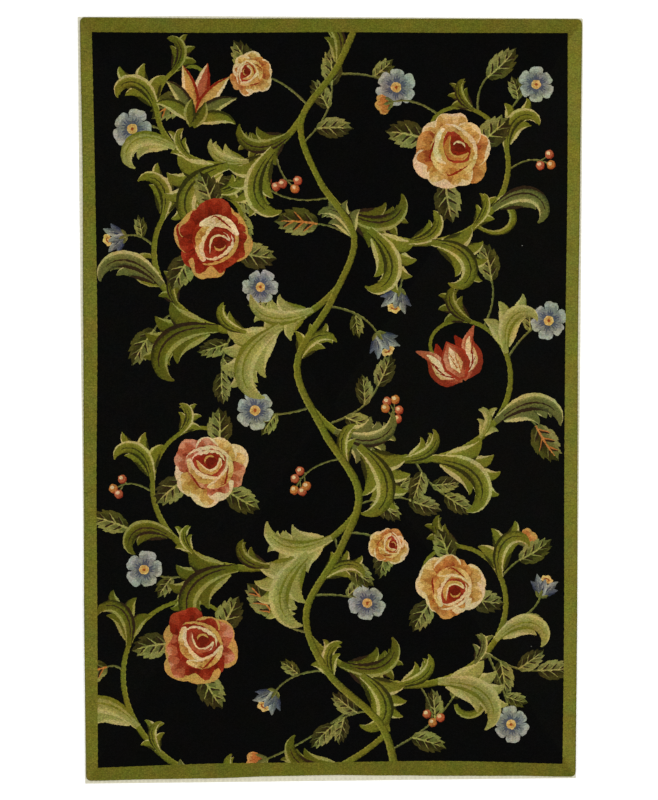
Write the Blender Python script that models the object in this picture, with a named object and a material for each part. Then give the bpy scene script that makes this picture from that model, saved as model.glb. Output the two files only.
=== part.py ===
"""A hooked rug, lying flat: a looped wool pile on a cut cotton foundation cloth.

Metres, +Z up. The origin is the middle of the underside. +X runs across the rug and +Y along it,
towards the end that is at the top when the pattern stands upright.
"""

import math

import bmesh
import bpy
from mathutils import Vector

MM = 0.001

# The foundation cloth, cut to 3 ft 9 in by 5 ft 9 in.
FOUNDATION_WIDTH = 1.143
FOUNDATION_LENGTH = 1.753
FOUNDATION_THICKNESS = 0.0018

# The pile of wool loops stands on the foundation and stops short of its edge.
PILE_HEIGHT = 0.0076
PILE_CORNER_RADIUS = 0.011
PILE_EDGE_ROUND = 0.0032
PILE_EDGE_STEPS = 4
LAYER_GAP = 0.0003  # between the two layers

# How far in from that rectangle the cloth's cut edge and the hooked edge lie, in millimetres, at
# evenly spaced places along each side. The sides run anticlockwise seen from above, so each list
# starts at the corner that the side before it ends at. Both were made by hand, so they wander.
CUT_INSETS_MM = {
    "bottom": (0, 0, 0, 0),
    "right": (2.5, 2.5, 1, 0, 0, 0),
    "top": (0, 0, 0, 0, 3),
    "left": (0, 0, 0, 1, 1.5, 0),
}
PILE_INSETS_MM = {
    "bottom": (8.5, 10.5, 11, 14.5, 15.5, 13, 10.5, 9, 5.5),
    "right": (4, 3.5, 5.5, 7, 5, 3.5),
    "top": (2.5, 3.5, 4.5, 6, 5),
    "left": (6, 8.5, 6.5, 4.5, 2, 3),
}
OUTLINE_STEP = 0.03  # the spacing of the outline's points along a side
CORNER_STEPS = 6
SHARP_ANGLE = math.radians(40)  # the pile is shaded smoothly but for edges above this

WOOL_COLOUR = (0.030, 0.030, 0.018, 1.0)
WOOL_ROUGHNESS = 0.95
COTTON_COLOUR = (0.640, 0.610, 0.500, 1.0)
COTTON_ROUGHNESS = 0.9


def fabric(name, colour, roughness):
    """A Principled BSDF for cloth."""
    material = bpy.data.materials.new(name)
    material.use_nodes = True
    shader = material.node_tree.nodes["Principled BSDF"]
    shader.inputs["Base Color"].default_value = colour
    shader.inputs["Roughness"].default_value = roughness
    shader.inputs["Metallic"].default_value = 0.0
    return material


def eased(values, share):
    """The list's value at a share of its length from 0 to 1, eased from each entry to the next."""
    place = min(max(share, 0.0), 1.0) * (len(values) - 1)
    first = min(int(place), len(values) - 2)
    ease = (1 - math.cos(math.pi * (place - first))) / 2
    return values[first] + (values[first + 1] - values[first]) * ease


def wandering_outline(insets_mm, corner_radius):
    """Four sides that wander inside the foundation's rectangle, anticlockwise, joined by their corners."""
    x, y = FOUNDATION_WIDTH / 2, FOUNDATION_LENGTH / 2
    corners = [Vector(corner) for corner in ((-x, -y), (x, -y), (x, y), (-x, y))]
    sides = list(insets_mm.values())
    points = []
    for i, insets in enumerate(sides):
        corner, length = corners[i], (corners[(i + 1) % 4] - corners[i]).length
        along = (corners[(i + 1) % 4] - corner).normalized()
        inward = along.orthogonal()
        start = sides[i - 1][-1] * MM + corner_radius
        end = length - sides[(i + 1) % 4][0] * MM - corner_radius
        steps = round((end - start) / OUTLINE_STEP)
        for k in range(steps + 1):
            inset = eased(insets, k / steps) * MM
            points.append(corner + along * (start + (end - start) * k / steps) + inward * inset)
        if corner_radius == 0:
            points.pop()  # the next side starts with it
            continue
        centre = points[-1] + inward * corner_radius
        for k in range(1, CORNER_STEPS):
            turn = math.pi / 2 * k / CORNER_STEPS
            spoke = along * math.sin(turn) - inward * math.cos(turn)
            points.append(centre + spoke * corner_radius)
    return points


def slab(name, outline, base, thickness):
    """A flat outline, filled and given a thickness, standing on the height base."""
    curve = bpy.data.curves.new(name, "CURVE")
    curve.dimensions = "2D"
    curve.fill_mode = "BOTH"
    curve.extrude = thickness / 2
    spline = curve.splines.new("POLY")
    spline.points.add(len(outline) - 1)
    for point, (x, y) in zip(spline.points, outline):
        point.co = (x, y, 0.0, 1.0)
    spline.use_cyclic_u = True
    drawn = bpy.data.objects.new(name + "_outline", curve)
    rug.objects.link(drawn)
    bpy.context.view_layer.update()
    mesh = bpy.data.meshes.new_from_object(drawn.evaluated_get(bpy.context.evaluated_depsgraph_get()))
    bpy.data.objects.remove(drawn)
    shape = bmesh.new()
    shape.from_mesh(mesh)
    bmesh.ops.remove_doubles(shape, verts=shape.verts, dist=MM / 100)
    shape.to_mesh(mesh)
    shape.free()
    made = bpy.data.objects.new(name, mesh)
    made.location.z = base + thickness / 2
    rug.objects.link(made)
    return made


def round_top_edge(piece, radius, steps):
    """Rounds the upper rim of a slab."""
    shape = bmesh.new()
    shape.from_mesh(piece.data)
    rim = [
        edge
        for edge in shape.edges
        if min(v.co.z for v in edge.verts) > 0 and edge.calc_face_angle(0.0) > math.pi / 4
    ]
    bmesh.ops.bevel(shape, geom=rim, offset=radius, segments=steps, profile=0.5, affect="EDGES")
    shape.to_mesh(piece.data)
    shape.free()


def make_foundation():
    """The cotton cloth that the loops are hooked through."""
    cloth = slab("foundation", wandering_outline(CUT_INSETS_MM, 0.0), 0.0, FOUNDATION_THICKNESS)
    cloth.data.materials.append(fabric("cotton_foundation", COTTON_COLOUR, COTTON_ROUGHNESS))


def make_pile():
    """The loops, hooked side by side, as the one thick layer that they form."""
    base = FOUNDATION_THICKNESS + LAYER_GAP
    pile = slab("hooked_pile", wandering_outline(PILE_INSETS_MM, PILE_CORNER_RADIUS), base, PILE_HEIGHT)
    round_top_edge(pile, PILE_EDGE_ROUND, PILE_EDGE_STEPS)
    pile.data.materials.append(fabric("wool_pile", WOOL_COLOUR, WOOL_ROUGHNESS))
    pile.data.shade_smooth()
    pile.data.set_sharp_from_angle(angle=SHARP_ANGLE)


for old in list(bpy.data.objects):
    bpy.data.objects.remove(old)
rug = bpy.data.collections.new("hooked_rug")
bpy.context.scene.collection.children.link(rug)
make_foundation()
make_pile()
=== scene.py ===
"""The looks of the hooked rug: a looped wool pile, hooked in a pattern of flowers and scrolling
leaves on black inside a plain olive border, on a cream cotton foundation cloth.

The pattern is a general one of roses, small flowers, berries and leaves, drawn here by formulas.
It is drawn flat in millimetres and then cut into the pile's mesh, so that each colour has its own
faces. The rest of the script is in metres, in the CAD frame.
"""

import cmath
import collections
import math
import random

import bpy
import numpy as np
from mathutils import Euler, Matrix, Vector, geometry, kdtree, noise


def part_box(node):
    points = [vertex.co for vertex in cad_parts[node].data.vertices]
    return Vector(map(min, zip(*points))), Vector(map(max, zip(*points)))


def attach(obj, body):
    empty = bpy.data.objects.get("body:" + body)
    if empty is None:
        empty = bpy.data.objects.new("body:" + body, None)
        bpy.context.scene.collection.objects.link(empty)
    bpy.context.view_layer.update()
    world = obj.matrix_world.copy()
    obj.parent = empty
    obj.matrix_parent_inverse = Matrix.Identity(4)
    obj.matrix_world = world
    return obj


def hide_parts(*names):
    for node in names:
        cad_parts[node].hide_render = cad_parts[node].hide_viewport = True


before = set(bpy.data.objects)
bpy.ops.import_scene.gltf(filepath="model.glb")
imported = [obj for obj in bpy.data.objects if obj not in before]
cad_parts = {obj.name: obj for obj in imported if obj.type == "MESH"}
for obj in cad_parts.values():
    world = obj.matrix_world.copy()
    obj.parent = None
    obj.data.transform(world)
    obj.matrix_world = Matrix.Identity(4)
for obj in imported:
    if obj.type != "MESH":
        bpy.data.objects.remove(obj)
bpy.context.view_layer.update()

# ---- Drawing ----
# The pattern is drawn flat, in millimetres, with points as complex numbers: x to the right and y
# up the rug. Each shape is laid over the ones before it.

MM = 0.001
STEP = 3.6  # the spacing of the points of an outline: about one loop of yarn

# Each yarn family is dyed in three shades, dark, middle and light, given as sRGB bytes.
YARNS = {
    "black": ((7, 7, 6), (8, 8, 7), (10, 10, 8)),
    "border": ((93, 90, 25), (100, 97, 30), (112, 109, 38)),
    "olive": ((50, 48, 14), (81, 80, 20), (103, 102, 29)),
    "leaf": ((71, 70, 17), (101, 100, 28), (125, 122, 44)),
    "sage": ((57, 57, 28), (91, 91, 42), (124, 122, 62)),
    "pale": ((107, 105, 43), (135, 130, 64), (162, 152, 84)),
    "straw": ((137, 131, 68), (167, 155, 92), (192, 176, 112)),
    "moss": ((30, 28, 9), (48, 46, 15), (71, 69, 24)),
    "deep": ((24, 22, 9), (42, 38, 14), (60, 55, 22)),
    "plum": ((22, 15, 10), (44, 32, 18), (60, 46, 24)),
    "brick": ((98, 26, 12), (122, 34, 16), (142, 50, 27)),
    "coral": ((124, 44, 24), (156, 80, 48), (182, 120, 84)),
    "orange": ((134, 62, 28), (162, 100, 44), (184, 128, 64)),
    "gold": ((150, 98, 42), (176, 134, 66), (198, 164, 100)),
    "cream": ((178, 142, 86), (202, 174, 126), (216, 196, 152)),
    "petal": ((78, 80, 80), (116, 118, 108), (150, 152, 134)),
    "slate": ((45, 49, 62), (74, 78, 85), (100, 103, 99)),
    "sun": ((160, 104, 46), (182, 144, 74), (200, 168, 98)),
}

# A shape's yarns are a family's name. Its tone, from the family's dark shade at 0 to its light one
# at 1, is a number or a function of the points.
Shape = collections.namedtuple("Shape", "outline yarns tone")
luck = random.Random(1755)


def polar(degrees, length=1.0):
    return cmath.rect(length, math.radians(degrees))


def even(points, step=STEP):
    """The same line with its points evenly spaced."""
    points = np.asarray(points)
    reach = np.append(0.0, np.cumsum(abs(np.diff(points))))
    count = max(2, round(reach[-1] / step))
    return np.interp(np.linspace(0, reach[-1], count + 1), reach, points)


def spline(ends):
    """A curve through all the points but the first and the last, without its own last point."""
    t = np.linspace(0, 1, 20, endpoint=False)
    pieces = []
    for a, b, c, d in zip(ends, ends[1:], ends[2:], ends[3:]):
        squared = a - 2.5 * b + 2 * c - d / 2
        cubed = 1.5 * (b - c) + (d - a) / 2
        pieces.append(b + (c - a) / 2 * t + squared * t**2 + cubed * t**3)
    return np.concatenate(pieces)


def smooth(*points):
    """An even curve through the points."""
    ends = [2 * points[0] - points[1], *points, 2 * points[-1] - points[-2]]
    return even(np.append(spline(ends), points[-1]))


def closed(size, points):
    """A smooth outline through points given as shares of a size, anticlockwise."""
    line = spline([points[-1], *points, points[0], points[1]])
    return even(np.append(line, points[0]) * size)[:-1]


def scroll(start, heading, length, turn, tighten=1.0):
    """A curve that sets out at a heading and turns by so many degrees, ever more tightly."""
    count = max(4, round(length / STEP))
    middles = (np.arange(count) + 0.5) / count
    steps = np.exp(1j * np.radians(heading + turn * middles ** (1 + tighten))) * length / count
    return start + np.append(0, np.cumsum(steps))


def bend(a, b, c, count):
    """The points of a curve from a to c that leans towards b, without its last one."""
    t = np.linspace(0, 1, count, endpoint=False)
    return a * (1 - t) ** 2 + 2 * b * t * (1 - t) + c * t**2


class Path:
    """A line that shapes are drawn along, with places given as a share of its length."""

    def __init__(self, points):
        self.points = np.asarray(points)
        steps = np.gradient(self.points)
        self.headings = steps / abs(steps)
        reach = np.append(0.0, np.cumsum(abs(np.diff(self.points))))
        self.length = reach[-1]
        self.shares = reach / reach[-1]

    def at(self, share, left=0.0):
        """The point at a share of the length, so far to the left of the line."""
        heading = np.interp(share, self.shares, self.headings)
        return np.interp(share, self.shares, self.points) + heading / abs(heading) * (1j * left)

    def turned(self, share):
        """The line's heading there, in degrees."""
        heading = np.interp(share, self.shares, self.headings)
        return math.degrees(cmath.phase(complex(heading)))

    def left_of(self, points):
        """How far each point lies to the left of the line."""
        nearest = abs(points[:, None] - self.points[None, :]).argmin(axis=1)
        return ((points - self.points[nearest]) / self.headings[nearest]).imag


def across(path, width, lit=1, low=0.1, high=0.9):
    """A tone that climbs from one side of a line to the other, the lit one."""

    def tone(points):
        return np.clip((low + high) / 2 + lit * path.left_of(points) / width * (high - low) / 2, 0, 1)

    return tone


def outward(centre, reach, low, high, streaks=0.0, count=9, phase=0.0):
    """A tone that climbs from a centre outwards, with streaks like a petal's."""

    def tone(points):
        spokes = points - centre
        angles = np.angle(spokes)
        ripple = np.sin(angles * count + phase) * np.sin(angles * (count * 0.43) + 2 * phase)
        return np.clip(low + (high - low) * abs(spokes) / reach + streaks * ripple, 0, 1)

    return tone


def band(path, shares, half, side, depth):
    """The outline of a strip along one side of a stroke."""
    return np.append(path.at(shares, side * half), path.at(shares, side * (half - depth))[::-1])


def stripe(path, size, widths, yarns, tone, start=0.0, end=1.0):
    """A stroke along part of a line. Its widths, at even shares of that, are shares of a size."""
    count = max(3, round(path.length * (end - start) / STEP))
    places = np.linspace(0, 1, len(widths))
    half = np.interp(np.linspace(0, 1, count + 1), places, size * np.array(widths)) / 2
    return Shape(band(path, np.linspace(start, end, count + 1), half, 1, 2 * half), yarns, tone)


def stroke(points, widths, yarns, lit=1):
    """A stem or vine: a line of changing width, lighter along one side."""
    path = Path(points)
    return [stripe(path, 1, widths, yarns, across(path, max(widths) / 2, lit))]


def vein(path, share, left, share_end, left_end, width, yarns, tone):
    """A tapering stroke inside a leaf or petal, with its ends placed along the leaf's line."""
    mid = path.at((share + share_end) / 2, (left + left_end) / 2)
    start, end = path.at(share, left), path.at(share_end, left_end)
    line = Path(np.append(bend(start, start * 0.4 + mid * 0.6, end, 6), end))
    return stripe(line, width, (1, 0.8, 0.25), yarns, tone)


def put(shapes, at, turn=0.0, mirror=False):
    """Shapes drawn round 0, moved to a place and turned."""
    spin = polar(turn)

    def placed(shape):
        def home(points):
            local = (points - at) / spin
            return np.conj(local) if mirror else local

        outline = np.conj(shape.outline) if mirror else shape.outline
        tone = (lambda points: shape.tone(home(points))) if callable(shape.tone) else shape.tone
        return Shape(at + outline * spin, shape.yarns, tone)

    return [placed(shape) for shape in shapes]


def grow(shapes, path, share=1.0, turn=0.0):
    """Shapes drawn round 0, moved to a place on a line and turned away from it."""
    return put(shapes, complex(path.at(share)), path.turned(share) + turn)


# ---- Toothed leaves and berries ----

# The widths of stems, from foot to tip.
VINE_STEM = (18, 15, 17, 15, 13, 15)
SCROLL_STEM = (13, 17, 14, 10, 7)
THIN_STEM = (5.4, 4.6, 4.0)
TWIG = (4.6, 4.0)
BERRY_STEM = (4.0, 3.4)
STALK = (3.2, 3.0)

LEAF_PEAK = 0.4  # where a toothed leaf is widest, as a share of its length
LEAF_FOOT = 0.35  # how wide it is at its base, as a share of its widest
TOOTH_DEPTH = 0.17  # as a share of the leaf's half width there


def swell(share):
    """A leaf's half width along it: up to 1 at its widest, down to 0 at its tip."""
    rise = np.sin(np.clip(share / LEAF_PEAK, 0, 1) * math.pi / 2) ** 0.8
    fall = np.sin(np.clip((1 - share) / (1 - LEAF_PEAK), 0, 1) * math.pi / 2) ** 0.9
    return float((LEAF_FOOT + (1 - LEAF_FOOT) * rise) * fall)


def toothed_edge(path, side, width, teeth):
    """One edge of a leaf, from its base to its tip, cut into teeth that point forwards."""
    cuts = (np.arange(teeth + 1) / teeth) ** 0.9
    edge = []
    for i, (a, b) in enumerate(zip(cuts, cuts[1:])):
        last = i == teeth - 1
        wide = side * width * swell((a + 2 * b) / 3)
        notch = side * width * swell(a) * (1 - TOOTH_DEPTH if i else 0.5)
        tip = path.at(1.0) if last else path.at(b + 0.35 * (b - a), wide)
        edge.append(bend(path.at(a, notch), path.at(a + 0.35 * (b - a), wide * 1.12), tip, 4))
        if not last:
            after = side * width * swell(b) * (1 - TOOTH_DEPTH)
            edge.append(bend(tip, path.at(b + 0.2 * (b - a), after), path.at(b, after), 2))
    return np.concatenate(edge)


def toothed_leaf(length, width, bow=14.0, lit=1, dark="moss", ribs="pale", teeth=6):
    """A rose leaf: toothed, in two tones either side of a pale rib, its base at 0, pointing right."""
    path = Path(scroll(0j, -bow / 2, length, bow, 0.0))
    shapes = []
    for side, yarns in ((lit, "sage"), (-lit, dark)):
        edge = toothed_edge(path, side, width / 2, teeth)
        outline = np.append(edge, path.at(np.linspace(1, 0, 12), -side * 0.8))
        shapes.append(Shape(outline, yarns, across(path, width / 2, side, -0.2, 1.05)))
    for side in (lit, -lit):
        for i in range(3):
            share = 0.08 + 0.24 * i
            end = share + 0.24
            reach = side * width / 2 * swell(share + 0.2)
            yarns = ribs if side == lit or i == 1 else "sage"
            shapes.append(vein(path, share + 0.05, 0, end, reach * 0.66, width * 0.13, "plum", 0.6))
            shapes.append(vein(path, share, 0, end, reach * 0.8, width * 0.055, yarns, 0.6))
    rib = Path(path.at(np.linspace(-0.02, 0.84, 14)))
    return shapes + [stripe(rib, width, (0.08, 0.07, 0.03), ribs, 0.7)]


def spray(points, length):
    """A thin stem with a leaf on either side and one at its end."""
    path = Path(points)
    shapes = stroke(points, TWIG, "sage")
    for i, side in enumerate((-1, 1)):
        share = 0.3 + 0.35 * i
        size = length * (1 - 0.12 * i)
        made = toothed_leaf(size, size * 0.56, side * 14, -side, "deep")
        shapes += grow(made, path, share, side * 52)
    return shapes + grow(toothed_leaf(length, length * 0.56, 10, 1, "deep"), path)


def blob(centre, wide, high):
    """An ellipse."""
    count = max(7, round(math.pi * (wide + high) / 2 / STEP))
    angles = np.linspace(0, 2 * math.pi, count, endpoint=False)
    return centre + wide / 2 * np.cos(angles) + 1j * high / 2 * np.sin(angles)


def berry(radius, yarns):
    """A round berry with a bright spot."""
    shade = outward(radius * (-0.3 + 0.3j), radius * 1.5, 1.1, 0.0)
    body = Shape(blob(0, radius * 2, radius * 2.1), yarns, shade)
    return [body, Shape(blob(radius * (-0.25 + 0.3j), radius * 0.9, radius * 0.8), "cream", 0.6)]


def berries(points, count, radius):
    """Berries on short stalks round the end of a stem."""
    path = Path(points)
    shapes = stroke(points, BERRY_STEM, "sage")
    for i, spread in enumerate((0, 52, -50, 60, -62)[:count]):
        share = 1 - 0.34 * i / count
        length = radius * (1.6 + 0.9 * (i % 2))
        stalk = scroll(path.at(share), path.turned(share) + spread * 0.8, length, spread * 0.4)
        shapes += stroke(stalk, STALK, "sage")
        shapes += put(berry(radius, "coral" if i % 3 else "orange"), stalk[-1])
    return shapes


# ---- Flowers ----


def rim_angles(length, spread, part=1.0):
    """The directions of the points of a petal's rim, as shares of half its spread."""
    return np.linspace(-part, part, max(9, round(2 * math.radians(spread) * length / STEP)))


def rim_reach(angles, length, ruffles, ruffle, seed, rounding=0.22):
    """How far a gently ruffled rim is from the petal's base."""
    wave = ruffle * np.cos(angles * math.pi * ruffles + seed)
    return length * (1 - rounding * abs(angles) ** 2.6 + wave)


def fan(length, spread, *ruffles):
    """A petal's outline, its base at 0, pointing right: broad, with a gently ruffled rim."""
    angles = rim_angles(length, spread)
    rim = rim_reach(angles, length, *ruffles) * np.exp(1j * np.radians(angles * spread))
    foot = length * 0.12
    right = bend(foot * polar(-spread), rim[0] * 0.6 * polar(-6), rim[0], 4)
    left = bend(rim[-1], rim[-1] * 0.6 * polar(6), foot * polar(spread), 4)
    return np.concatenate([right, rim, left])


def petal(length, spread, ruffles, yarns, tone, rim, edge):
    """A petal with a ragged rim of another yarn: its edge is how deep that is, or 0 for none."""
    shapes = [Shape(fan(length, spread, *ruffles), yarns, tone)]
    if edge:
        angles = rim_angles(length, spread, 0.93)
        reach = rim_reach(angles, length, *ruffles)
        swelling = 0.2 + 0.8 * np.cos(angles * math.pi / 2) ** 0.7
        depth = edge * length * swelling * (0.75 + 0.45 * np.sin(angles * 5 + ruffles[-1] * 3))
        turn = np.exp(1j * np.radians(angles * spread))
        shapes.append(Shape(np.append(reach * turn, ((reach - depth) * turn)[::-1]), rim, 0.6))
    return shapes


def crescent(centre, radius, start, end, thick, yarns, tone, flat=1.0):
    """An arc that swells in the middle: the rolled rim of an inner petal."""
    angles = np.radians(np.linspace(start, end, max(7, round(abs(end - start) / 16))))
    half = thick / 2 * np.sin(np.linspace(0, math.pi, len(angles))) ** 0.6
    turn = np.exp(1j * angles)
    ring = np.append((radius + half) * turn, ((radius - half) * turn)[::-1])
    return Shape(centre + ring.real + 1j * ring.imag * flat, yarns, tone)


def rimmed(outline, yarns, tone, rim, start, end, depth, seed):
    """A patch with a rim of another yarn along part of its outline, ragged on its inner side."""
    path = Path(np.append(outline, outline[0]))
    shares = np.linspace(start, end, max(6, round(path.length * (end - start) / STEP)))
    along = np.linspace(0, 1, len(shares))
    ragged = 1 + 0.32 * np.sin(along * 17 + seed) * np.sin(along * 29 + 2 * seed)
    inner = path.at(shares, depth * np.sin(along * math.pi) ** 0.6 * ragged)
    return [Shape(outline, yarns, tone), Shape(np.append(path.at(shares), inner[::-1]), rim, 0.55)]


# The outer petals of a rose, from the back to the front: direction, length and half their spread.
OUTER_PETALS = ((172, 0.92, 30), (6, 0.98, 32), (132, 0.98, 36), (48, 0.96, 34), (90, 0.88, 30),
                (-150, 0.93, 33), (-28, 0.88, 30), (-112, 0.99, 34), (-66, 0.94, 36))
OUTER_RIMS = (0.26, 0.07, 0.0, 0.20, 0.10, 0.16, 0.0, 0.12)  # how deep their rims are

# The petals inside it, as shares of its size: three that form the cup, and two folded over it.
CUP = (-0.60 + 0.22j, -0.46 - 0.24j, -0.10 - 0.50j, 0.30 - 0.46j, 0.58 - 0.10j, 0.56 + 0.32j,
       0.24 + 0.62j, -0.20 + 0.64j, -0.52 + 0.50j)
THROAT = (-0.44 + 0.26j, -0.26 - 0.06j, 0.12 - 0.16j, 0.42 + 0.10j, 0.36 + 0.42j, 0.06 + 0.54j,
          -0.30 + 0.50j)
BOWL = (-0.30 + 0.34j, -0.24 + 0.02j, 0.06 - 0.12j, 0.34 + 0.08j, 0.32 + 0.30j, 0.20 + 0.10j,
        0.02 + 0.02j, -0.14 + 0.14j)
LEFT_FOLD = (-0.56 + 0.34j, -0.52 - 0.02j, -0.28 - 0.30j, 0.08 - 0.36j, 0.34 - 0.26j, 0.06 - 0.18j,
             -0.20 - 0.04j, -0.36 + 0.14j, -0.44 + 0.40j)
RIGHT_FOLD = (0.60 + 0.26j, 0.50 + 0.22j, 0.40 - 0.02j, 0.14 - 0.24j, -0.16 - 0.42j, 0.06 - 0.50j,
              0.40 - 0.42j, 0.62 - 0.10j)


def outer_petals(body, rim, seed, size):
    """The ragged petals round the outside of a rose."""
    shapes = []
    for i, (turn, length, spread) in enumerate(OUTER_PETALS):
        sway = math.sin(seed * (i + 2.3) + i)
        edge = OUTER_RIMS[(3 * i + round(seed * 2)) % len(OUTER_RIMS)]
        reach = size * length * (1 + 0.07 * sway)
        phase = seed + 2 * i
        tone = outward(0, reach, -1.0, 1.0, 0.4, 13, phase * 2)
        ruffles = (2 if i % 4 == 2 else 1, 0.035, phase)
        made = petal(reach, spread, ruffles, body[i % 2], tone, rim, edge)
        shapes += put(made, 0.04j * size, turn + 5 * sway)
    return shapes


def rose(body, fold, rim, seed, size):
    """A full rose seen from the side, its cup opening upwards: ragged petals round folded ones."""

    def shade(centre, reach, high, streaks, count):
        return outward(centre * size, size * reach, 0.0, high, streaks, count, seed)

    def inner(points, yarns, tone, edging, start, end, depth, number):
        return rimmed(closed(size, points), yarns, tone, edging, start, end, size * depth, seed + number)

    bright, dull = fold
    front = fold[(int(seed) + 1) % 2]
    shapes = outer_petals(body, rim, seed, size)
    shapes += inner(CUP, body[0], shade(0.2j, 0.75, 0.85, 0.35, 7), rim, 0.46, 0.94, 0.10, 0)
    shapes += inner(THROAT, "brick", shade(0.05 + 0.2j, 0.4, 1.0, 0.3, 5), bright, 0.50, 0.97, 0.085, 1)
    shapes += inner(BOWL, body[1], 0.45, bright, 0.44, 0.99, 0.05, 2)
    shapes.append(Shape(blob((0.06 + 0.26j) * size, size * 0.3, size * 0.26), "brick", 0.0))
    shapes.append(crescent((0.06 + 0.24j) * size, size * 0.15, 40, 200, size * 0.06, dull, 0.4, 0.9))
    shapes += inner(LEFT_FOLD, dull, shade(-0.2 - 0.1j, 0.45, 1.0, 0.3, 9), bright, 0.50, 1.0, 0.10, 3)
    shapes += inner(RIGHT_FOLD, front, shade(0.3 - 0.3j, 0.4, 1.0, 0.3, 9), bright, 0.0, 0.44, 0.07, 4)
    for side, high in ((-1, 0.02), (1, 0.06)):
        ends = (side * 0.20 - 0.44j, side * 0.34 - 0.40j, side * 0.52 + high * 1j)
        crease = Path(smooth(*[end * size for end in ends]))
        shapes.append(stripe(crease, size, (0.01, 0.05, 0.05, 0.01), "brick", 0.4))
    return shapes


def small_flower(size, petals, seed):
    """An open blue flower of notched petals round a yellow eye."""
    shapes = []
    spread = 180 / petals * 0.94
    for i in range(petals):
        length = size * (1 + 0.06 * math.sin(seed + 2 * i))
        outline = fan(length, spread, 1, -0.07, 0.3 * math.sin(seed + i), 0.3)
        made = [Shape(outline, "petal", outward(0, size, -0.2, 1.1, 0.15, 9, seed + i))]
        for side in (-0.5, 0.0, 0.5):
            line = np.linspace(0, size * (0.62 - 0.1 * abs(side)), 8) * polar(spread * side)
            made.append(stripe(Path(line), size, (0.16, 0.12, 0.03), "slate", 0.4))
        shapes += put(made, 0, 360 / petals * i)
    eye = outward(0, size * 0.3, 0.2, 0.9, 0.4, 5)
    shapes.append(Shape(blob(0, size * 0.52, size * 0.5), "sun", eye))
    shapes.append(Shape(blob(0, size * 0.16, size * 0.16), "orange", 0.2))
    return shapes


def sepals(size, turns, length, widths):
    """Small green leaves round the foot of a flower that points right."""
    shapes = []
    for turn in turns:
        path = Path(scroll(0j, turn, size * length, -turn * 0.4, 0.3))
        shapes.append(stripe(path, size, widths, "sage", across(path, size * max(widths) / 2)))
    return shapes


# The petals of a bell, from the back to the front: lean, length, yarns and width.
BELL_PETALS = ((52, 0.8, "slate", 0.26), (-52, 0.8, "slate", 0.26), (30, 0.98, "petal", 0.32),
               (-30, 0.98, "petal", 0.32), (4, 0.78, "petal", 0.34))


def bell(size, seed):
    """A nodding flower seen from the side, pointing right: pointed petals round a yellow mouth."""
    tone = outward(0, size * 0.3, 0.0, 1.0, 0.5, 9)
    shapes = put([Shape(fan(size * 0.34, 70, 3, 0.08, seed), "sun", tone)], size * 0.62)
    shapes.append(crescent(size * 0.66, size * 0.16, -60, 60, size * 0.06, "orange", 0.2))
    for lean, length, yarns, width in BELL_PETALS:
        path = Path(scroll(0j, lean * 0.75, size * length, lean * 0.5, 0.4))
        tone = across(path, size * width / 2, -1 if lean > 0 else 1, -0.1, 1.0)
        shapes.append(stripe(path, size * width, (0.35, 0.8, 1.0, 0.8, 0.1), yarns, tone))
        shapes.append(stripe(path, size, (0.05, 0.06, 0.01), "slate", 0.2, 0.1, 0.7))
    return shapes + sepals(size, (-70, 66, 8), 0.36, (0.06, 0.14, 0.12, 0.01))


def bud(size):
    """A round bud of overlapping petals in a green cup, pointing right."""
    shapes = []
    for turn, length in ((-24, 0.92), (24, 0.92), (0, 1.0)):
        tone = outward(0, size * length, -1 / 9, 1.0, 0.3, 13, turn * 2)
        shapes += put(petal(size * length, 26, (1, 0.03, turn), "orange", tone, "gold", 0.2), 0, turn)
    return shapes + sepals(size, (-50, 50, 0), 0.6, (0.1, 0.2, 0.16, 0.01))


def tulip(size):
    """A tulip seen from the side, pointing up: flaring outer petals round a closed middle one."""
    shapes = []

    def spine(side, *points):
        """A line from the flower's foot, through points that are shares of its size."""
        return Path(smooth(0j, *[complex(side * point.real, point.imag) * size for point in points]))

    def add(path, widths, yarns, half, lit, low, high, *part):
        tone = across(path, size * half, lit, low, high)
        shapes.append(stripe(path, size, widths, yarns, tone, *part))

    for side in (-1, 1):
        back = spine(side, 0.30 + 0.35j, 0.22 + 0.95j)
        add(back, (0.1, 0.42, 0.34, 0.04), "brick", 0.2, -side, 0.0, 1.0)
    for side in (-1, 1):
        flare = spine(side, 0.36 + 0.28j, 0.44 + 0.7j, 0.70 + 0.98j)
        add(flare, (0.14, 0.48, 0.44, 0.22, 0.03), "coral", 0.22, side, -0.1, 1.1)
        add(flare, (0.02, 0.24, 0.2, 0.02), "cream", 0.14, side, 0.0, 0.9, 0.12, 0.8)
        left = -side * size * 0.09
        for share in (0.25, 0.42, 0.58):
            shapes.append(vein(flare, share - 0.1, 0, share + 0.2, left, size * 0.035, "brick", 0.5))
    middle = spine(1, 0.01 + 0.4j, 0.9j)
    shapes.append(stripe(middle, size, (0.2, 0.62, 0.56, 0.03), "brick", 0.8))
    add(middle, (0.1, 0.5, 0.44, 0.02), "coral", 0.26, 1, 0.0, 1.0, 0.06, 0.95)
    add(middle, (0.02, 0.28, 0.22, 0.02), "cream", 0.16, 1, 0.0, 0.9, 0.16, 0.84)
    for side, share in ((-1, 0.2), (1, 0.3), (-1, 0.4), (1, 0.5)):
        start, end = side * size * 0.02, side * size * 0.07
        shapes.append(vein(middle, share, start, share + 0.28, end, size * 0.03, "orange", 0.3))
    return shapes


# The petals of a palmette, from the back to the front: lean, length, width and yarns.
PALMETTE_PETALS = (
    (0, 1.0, 0.30, ("coral", "cream", "brick")),
    (24, 0.96, 0.27, ("gold", "cream", "brick")),
    (46, 0.84, 0.25, ("sage", "straw", "plum")),
    (76, 0.74, 0.24, ("leaf", "straw", "moss")),
)


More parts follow.
